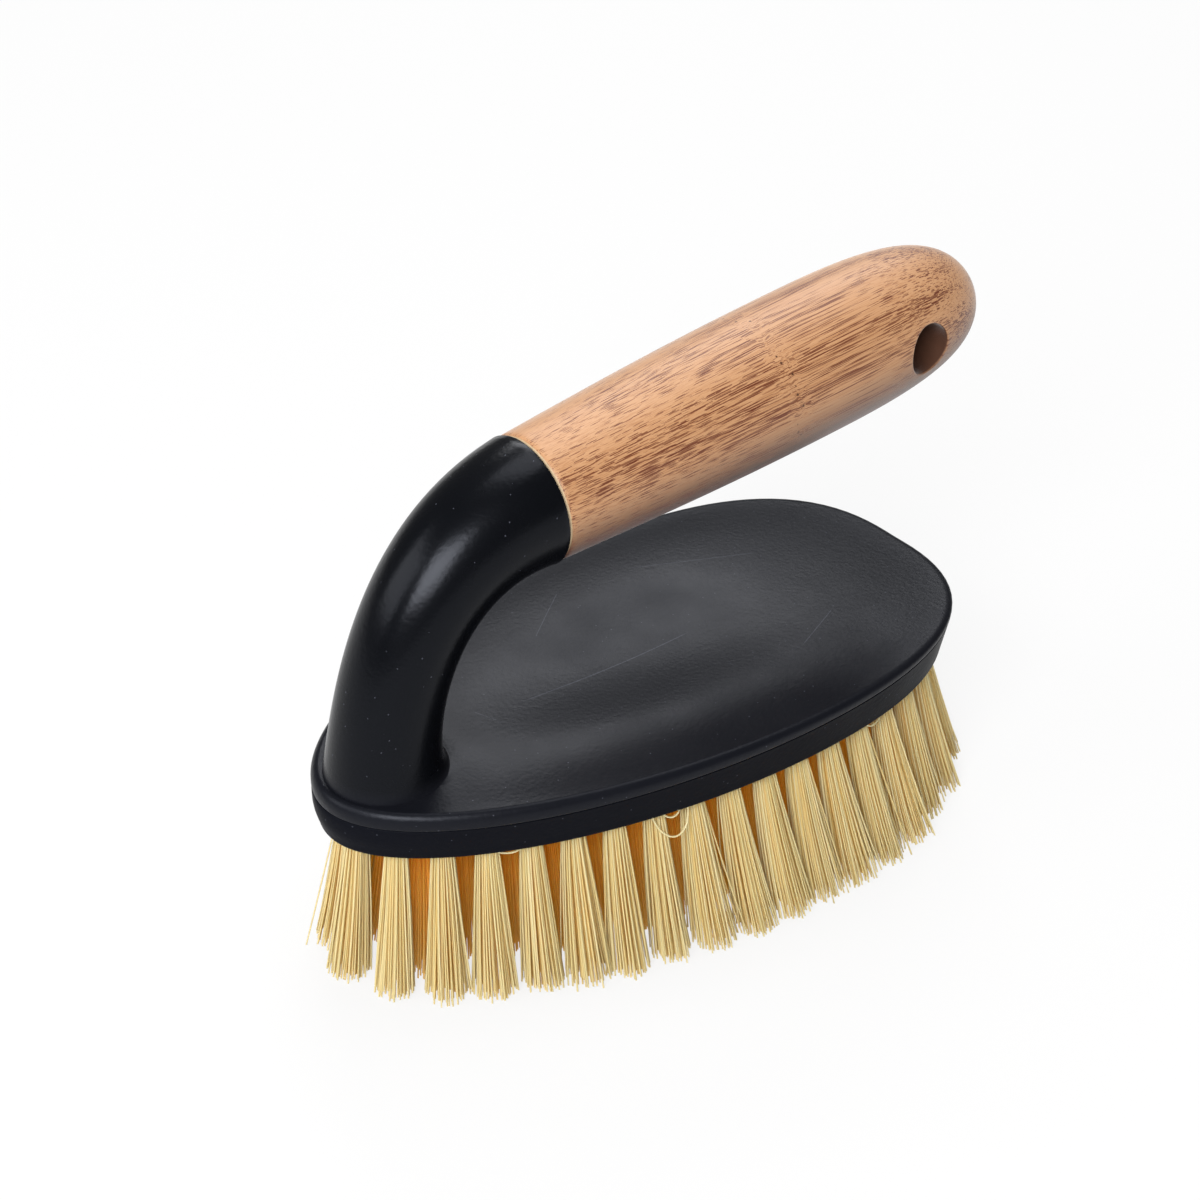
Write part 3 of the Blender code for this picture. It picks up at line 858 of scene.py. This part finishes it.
def scratch(start, end, width):
    """A hairline from one place on the lid to another, as a mask."""
    way = Vector(end) - Vector(start)
    turn = (0, 0, math.atan2(way.y, way.x))
    along_scratch = add(tree, "Mapping", {"Vector": mm_space, "Location": in_place((*start, 0)) / MM,
                                          "Rotation": turn}, vector_type="TEXTURE")
    parts = add(tree, "SeparateXYZ", {0: along_scratch})
    aside = add(tree, "Math", {0: parts.outputs["Y"]}, operation="ABSOLUTE")
    line = add(tree, "MapRange", {"Value": aside, "From Min": width, "From Max": width * 0.3})
    from_middle = add(tree, "Math", {0: parts.outputs["X"], 1: way.length / 2}, operation="SUBTRACT")
    from_middle = add(tree, "Math", {0: from_middle}, operation="ABSOLUTE")
    ends = add(tree, "MapRange", {"Value": from_middle, "From Min": way.length / 2,
                                  "From Max": way.length * 0.42})
    return add(tree, "Math", {0: line, 1: ends}, operation="MULTIPLY")


# Real hairlines are a few hundredths of a millimetre wide: these are drawn as coarse as they must be
# to show.
marks = scratch(*LONG_SCRATCH, 0.16)
for start, end in SHORT_SCRATCHES:
    marks = add(tree, "Math", {0: marks, 1: scratch(start, end, 0.1)}, operation="MAXIMUM")
marks = add(tree, "Math", {0: marks, 1: on_lid}, operation="MULTIPLY")
dust = add(tree, "TexVoronoi", {"Vector": mm_space, "Scale": 0.42})
dust = add(tree, "MapRange", {"Value": dust, "From Min": 0.07, "From Max": 0.05})
marks = add(tree, "Math", {0: marks, 1: dust}, operation="MAXIMUM")
colour = add(tree, "Mix", {0: on_lid, 6: linear("07080B"), 7: linear("0F1015")}, data_type="RGBA")
colour = add(tree, "Mix", {0: marks, 6: colour, 7: linear("3C3E46")}, data_type="RGBA")
tree.links.new(colour.outputs[2], shader.inputs["Base Color"])
deep = add(tree, "MapRange", {"Value": on_lid, "To Min": 0.16, "To Max": 0.26})
bump = add(tree, "Bump", {"Height": leather, "Strength": deep, "Distance": 0.00012})
tree.links.new(bump.outputs[0], shader.inputs["Normal"])
shader.inputs["IOR"].default_value = 1.45
shader.inputs["Specular IOR Level"].default_value = 0.17
shader.inputs["Specular Tint"].default_value = (0.84, 0.88, 1.0, 1.0)
wear(cover, plastic)
matt = plastic.copy()            # the block's tool was blasted, so its face hardly shines
matt.name = "moulded polypropylene, black, matt"
matt.node_tree.nodes["Principled BSDF"].inputs["Specular IOR Level"].default_value = 0.02
wear(block, matt)
print(plastic.name, "on", cover.name, "and", matt.name, "on", block.name)

# %% [markdown]
# ### Bamboo
#
# Bamboo is a grass: pale, even tissue, shot through with darker fibre bundles that run straight along
# the stalk. Cut along, they show as brown dashes with pointed ends, about a quarter of a millimetre
# wide, in two lengths here: one to each 11 and each 26 mm. Where a stalk had a node, the bundles swerve
# and leave small pits. A satin lacquer covers the turned surface, but not the narrow chamfer by the
# neck.

# %% Bamboo fibres round a node
NODE_AT = 57.0                   # along the grip from the joint
NODE_FADE = -0.1                 # for each square millimetre away from it
bamboo, tree, shader = new_material("laminated bamboo, satin lacquer")
along_grip = in_millimetres(tree, in_place(JOINT), TILT)
axes = add(tree, "SeparateXYZ", {0: along_grip})
from_node = add(tree, "Math", {0: axes.outputs["X"], 1: NODE_AT}, operation="SUBTRACT")
squared = add(tree, "Math", {0: from_node, 1: 2.0}, operation="POWER")
faded = add(tree, "Math", {0: squared, 1: NODE_FADE}, operation="MULTIPLY")
near_node = add(tree, "Math", {0: math.e, 1: faded}, operation="POWER")
swerve = add(tree, "TexNoise", {"Vector": along_grip, "Scale": 0.35, "Detail": 1.0}).outputs["Color"]
swerve = add(tree, "VectorMath", {0: swerve, 1: (0.5, 0.5, 0.5)}, operation="SUBTRACT")
strength = add(tree, "Math", {0: near_node, 1: 1.1}, operation="MULTIPLY")
swerve = add(tree, "VectorMath", {0: swerve, "Scale": strength}, operation="SCALE")
fibre_space = add(tree, "VectorMath", {0: along_grip, 1: swerve}, operation="ADD")
print("the fibres swerve", NODE_AT, "mm along the grip")

# %% Tissue and fibre bundles
def drawn_out(length, width):
    """The fibres' space in cells of a length and width in millimetres."""
    return add(tree, "Mapping", {"Vector": fibre_space, "Scale": (1 / length, 1 / width, 1 / width)})


def streaks(length, width, detail):
    """Noise drawn out along the grip: its length and width in millimetres."""
    space = drawn_out(length, width)
    return add(tree, "TexNoise", {"Vector": space, "Scale": 1.0, "Detail": detail, "Roughness": 0.5})


def bundles(length, width, fullest):
    """Pointed dashes along the grip, one in each cell of a length and width in millimetres."""
    space = drawn_out(length, width)
    cells = add(tree, "TexVoronoi", {"Vector": space, "Scale": 1.0}, distance="MANHATTAN")
    own = add(tree, "SeparateColor", {0: cells.outputs["Color"]})
    size = add(tree, "MapRange", {"Value": own.outputs[0], "To Min": 0.35 * fullest, "To Max": fullest})
    size = add(tree, "Math", {0: size, 1: crowd}, operation="MULTIPLY")
    inside = add(tree, "Math", {0: size, 1: cells.outputs["Distance"]}, operation="SUBTRACT")
    dash = add(tree, "MapRange", {"Value": inside, "From Min": 0.0, "From Max": 0.05})
    dark = add(tree, "MapRange", {"Value": own.outputs[1], "To Min": 0.65, "To Max": 1.0})
    return add(tree, "Math", {0: dash, 1: dark}, operation="MULTIPLY")


broad = streaks(90, 5.0, 2.0)    # lighter and darker stretches, where the bundles are fewer or more
crowd = add(tree, "MapRange", {"Value": broad, "From Min": 0.35, "From Max": 0.62, "To Min": 0.55,
                               "To Max": 1.25})
long_dashes, short_dashes = bundles(26, 0.27, 0.72), bundles(11, 0.26, 0.68)
dashes = add(tree, "Math", {0: long_dashes, 1: short_dashes}, operation="MAXIMUM")
tissue = add(tree, "Mix", {0: broad, 6: linear("BC9069"), 7: linear("AA7B52")}, data_type="RGBA")
# Painted shade: the tissue turns a deep brown towards the grip's lower side.
painted_shade_below = add(tree, "MapRange", {"Value": axes.outputs["Z"], "From Min": 2.5, "From Max": -8.0})
tissue = add(tree, "Mix", {0: painted_shade_below, 6: tissue, 7: linear("3C2110")}, data_type="RGBA")
veins = add(tree, "MapRange", {"Value": streaks(40, 0.16, 1.0), "From Min": 0.5, "From Max": 0.62,
                               "To Max": 0.4})
tissue = add(tree, "Mix", {0: veins, 6: tissue, 7: linear("8E5629")}, data_type="RGBA")
wood = add(tree, "Mix", {0: dashes, 6: tissue, 7: linear("5C2406")}, data_type="RGBA")
raw = add(tree, "MapRange", {"Value": axes.outputs["X"], "From Min": 0.8, "From Max": 0.65})
wood = add(tree, "Mix", {0: raw, 6: wood, 7: linear("C4AD8A")}, data_type="RGBA")
print("tissue, veins and dashes, with the raw chamfer by the neck: ready")

# %% Node pits, and the drilled wall
dots = add(tree, "TexVoronoi", {"Vector": along_grip, "Scale": 0.55})
dots = add(tree, "MapRange", {"Value": dots, "From Min": 0.2, "From Max": 0.13})
pits = add(tree, "MapRange", {"Value": near_node, "From Min": 0.72, "From Max": 0.9})
pits = add(tree, "Math", {0: pits, 1: dots}, operation="MULTIPLY")
wood = add(tree, "Mix", {0: pits, 6: wood, 7: linear("4F2B12")}, data_type="RGBA")
from_drill = add(tree, "VectorMath", {0: along_grip, 1: (HOLE_ALONG, 0, 0)}, operation="SUBTRACT")
from_drill = add(tree, "VectorMath", {0: from_drill, 1: (1, 0, 1)}, operation="MULTIPLY")
from_drill = add(tree, "VectorMath", {0: from_drill}, operation="LENGTH")
drilled_and_shaded = add(tree, "MapRange", {"Value": from_drill, "From Min": HOLE_RADIUS + 0.2,
                                 "From Max": HOLE_RADIUS + 0.05})
# The drilled wall is darker end grain, and darker still as painted shade inside the hole.
wood = add(tree, "Mix", {0: drilled_and_shaded, 6: wood, 7: linear("43220B")}, data_type="RGBA")
raw = add(tree, "Math", {0: raw, 1: drilled_and_shaded}, operation="MAXIMUM")
tree.links.new(wood.outputs[2], shader.inputs["Base Color"])
rough = add(tree, "MapRange", {"Value": raw, "To Min": 0.46, "To Max": 0.8})
tree.links.new(rough.outputs[0], shader.inputs["Roughness"])
sunk = add(tree, "Math", {0: 1.0, 1: dashes}, operation="SUBTRACT")
bump = add(tree, "Bump", {"Height": sunk, "Strength": 0.25, "Distance": 0.0001})
tree.links.new(bump.outputs[0], shader.inputs["Normal"])
shader.inputs["IOR"].default_value = 1.5
shader.inputs["Sheen Weight"].default_value = 0.24       # fine scuffs on the lacquer, seen along it
shader.inputs["Sheen Roughness"].default_value = 0.4
wear(grip, bamboo)
print(bamboo.name, "on", grip.name)

# %% [markdown]
# ### Bristle filament
#
# The filaments are a stiff, cream-coloured polymer, a little translucent. Light that has passed
# through several of them turns amber, which is why the gaps between the tufts glow orange. That amber
# is painted: each vertex says how hidden it is, and the more it is, the more orange its colour, the
# more its light comes through from behind, and the more it glows as painted light.

# %% Cream polymer filament
SCATTERED = 0.11                 # strength of the light that a traced path misses
cream, tree, shader = new_material("stiff polymer filament, cream")
shade = add(tree, "Attribute", attribute_name="shade").outputs["Fac"]
painted_amber = add(tree, "Attribute", attribute_name="painted_amber").outputs["Fac"]
colour = add(tree, "Mix", {0: shade, 6: linear("E4DCAE"), 7: linear("D8CD96")}, data_type="RGBA")
# Painted shade: hidden filaments are coloured orange for light that came through the outer ones.
colour = add(tree, "Mix", {0: painted_amber, 6: colour, 7: linear("FFD25A")}, data_type="RGBA")
tree.links.new(colour.outputs[2], shader.inputs["Base Color"])
shader.inputs["Roughness"].default_value = 0.42
shader.inputs["IOR"].default_value = 1.5
glow = add(tree, "Mix", {0: painted_amber, 6: linear("FADE8C"), 7: linear("FFD85C")}, data_type="RGBA")
through = add(tree, "BsdfTranslucent", {"Color": glow})
# Light scatters on between many filaments, but a traced path ends after a few: a weak glow stands
# for the rest.
shader.inputs["Emission Color"].default_value = linear("FFD428")
scattered = add(tree, "Math", {0: painted_amber, 1: SCATTERED}, operation="MULTIPLY")
tree.links.new(scattered.outputs[0], shader.inputs["Emission Strength"])
share = add(tree, "MapRange", {"Value": painted_amber, "To Min": 0.3, "To Max": 0.9})
both = add(tree, "MixShader", {0: share, 1: shader.outputs[0], 2: through.outputs[0]})
tree.links.new(both.outputs[0], tree.nodes["Material Output"].inputs["Surface"])
for piece in rows + loops:
    wear(piece, cream)
print(cream.name, "on", len(rows), "rows and", len(loops), "loops")

# %% [markdown]
# ## Stage, light and camera
#
# The brush stands on a plain pale floor under soft studio light. The floor looks white, but still
# takes the brush's shadow. The world is white to the camera and dimmer to all that it lights, and
# dimmest in reflections, so that black plastic stays black. The camera stands where the photograph's
# camera stood, which was worked out from the head's outline: about 34 degrees above the floor, 0.6 m
# away, with a portrait lens.

# %% Floor
bare()
bpy.ops.mesh.primitive_plane_add(size=12, location=(0, 0, 0))
floor = bpy.context.active_object
floor.name = "floor"
floor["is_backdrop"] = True
paper, tree, shader = new_material("white paper backdrop")
shader.inputs["Base Color"].default_value = linear("CECECE")
shader.inputs["Roughness"].default_value = 0.9
rays = add(tree, "LightPath").outputs
seen = add(tree, "Math", {0: rays["Is Camera Ray"], 1: rays["Is Glossy Ray"]}, operation="MAXIMUM")
seen = add(tree, "Math", {0: seen, 1: rays["Is Transmission Ray"]}, operation="MAXIMUM")
seen = add(tree, "Math", {0: seen, 1: 0.8}, operation="MULTIPLY")
white = add(tree, "Emission", {"Color": (1, 1, 1, 1), "Strength": 1.0})
both = add(tree, "MixShader", {0: seen, 1: shader.outputs[0], 2: white})
tree.links.new(both.outputs[0], tree.nodes["Material Output"].inputs["Surface"])
wear(floor, paper)
print(paper.name, "on", floor.name)

# %% World
AS_LIGHT, IN_REFLECTIONS, TO_CAMERA = 0.3, 0.16, 0.97    # strength of the world to each kind of ray
world = bpy.data.worlds.new("studio")
bpy.context.scene.world = world
world.use_nodes = True
tree = world.node_tree
sky = tree.nodes["Background"]
sky.inputs["Color"].default_value = (1, 1, 1, 1)
rays = add(tree, "LightPath").outputs
mirrored = add(tree, "Math", {0: rays["Is Glossy Ray"], 1: rays["Is Transmission Ray"]},
               operation="MAXIMUM")
dimmed = add(tree, "MapRange", {"Value": mirrored, "To Min": AS_LIGHT, "To Max": IN_REFLECTIONS})
seen = add(tree, "MapRange", {"Value": rays["Is Camera Ray"], "To Min": dimmed,
                              "To Max": TO_CAMERA})
tree.links.new(seen.outputs[0], sky.inputs["Strength"])
print("world:", world.name, "strength", AS_LIGHT, "as light")

# %% Lamps
AIM_HEIGHT = 0.05                # the lamps face this height over the floor, in metres


def softbox(name, azimuth, elevation, distance, width, height, power):
    """An oblong area light that faces the brush from a direction in degrees."""
    turn, rise = math.radians(azimuth), math.radians(elevation)
    away = Vector((math.sin(turn) * math.cos(rise), -math.cos(turn) * math.cos(rise), math.sin(rise)))
    bpy.ops.object.light_add(type="AREA", location=away * distance + Vector((0, 0, AIM_HEIGHT)))
    lamp = bpy.context.active_object
    lamp.name = name
    lamp.data.shape, lamp.data.energy = "RECTANGLE", power
    lamp.data.size, lamp.data.size_y = width, height
    lamp.rotation_euler = away.to_track_quat("Z", "Y").to_euler()


softbox("key softbox", -55, 35, 1.2, 0.62, 0.56, 17.0)
softbox("left softbox", -112, 30, 1.2, 0.8, 0.6, 5.2)
softbox("rear softbox", 139, 42, 1.1, 0.6, 0.32, 4.5)
softbox("top softbox", 110, 74, 1.2, 0.7, 0.7, 6.0)
bpy.context.scene.view_settings.view_transform = "Standard"

# %% Camera
CAMERA_AT = (-320.45, -370.0, 392.9)     # in millimetres from the head's middle
SENSOR = 36                      # its width in millimetres
FOCAL_PIXELS, PICTURE_PIXELS = 2920, 1200        # the photograph's focal length and width, in pixels
azimuth, elevation, roll = -0.701, 0.598, 0.015
forward = Vector((-math.sin(azimuth) * math.cos(elevation), math.cos(azimuth) * math.cos(elevation),
                  -math.sin(elevation)))
level_right = Vector((math.cos(azimuth), math.sin(azimuth), 0))
level_up = level_right.cross(forward)
right = level_right * math.cos(roll) + level_up * math.sin(roll)
up = level_up * math.cos(roll) - level_right * math.sin(roll)
bpy.ops.object.camera_add(location=in_place(CAMERA_AT))
camera = bpy.context.active_object
camera.rotation_euler = Matrix((right, up, -forward)).transposed().to_euler()
camera.data.sensor_width = SENSOR
camera.data.lens = SENSOR * FOCAL_PIXELS / PICTURE_PIXELS
bpy.context.scene.camera = camera
print("camera:", round(camera.data.lens, 1), "mm lens, at", in_mm(camera.location))

# %% [markdown]
# ## The size
#
# The dressed model's box is printed. The dressed model has to keep close to the CAD model's box. Only
# the splayed tips of the tufts reach past the CAD model's box, by up to 4 mm on each side of the
# head.

# %% Print the dressed model's box
low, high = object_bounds()
print("visual box in mm:", in_mm(high - low))
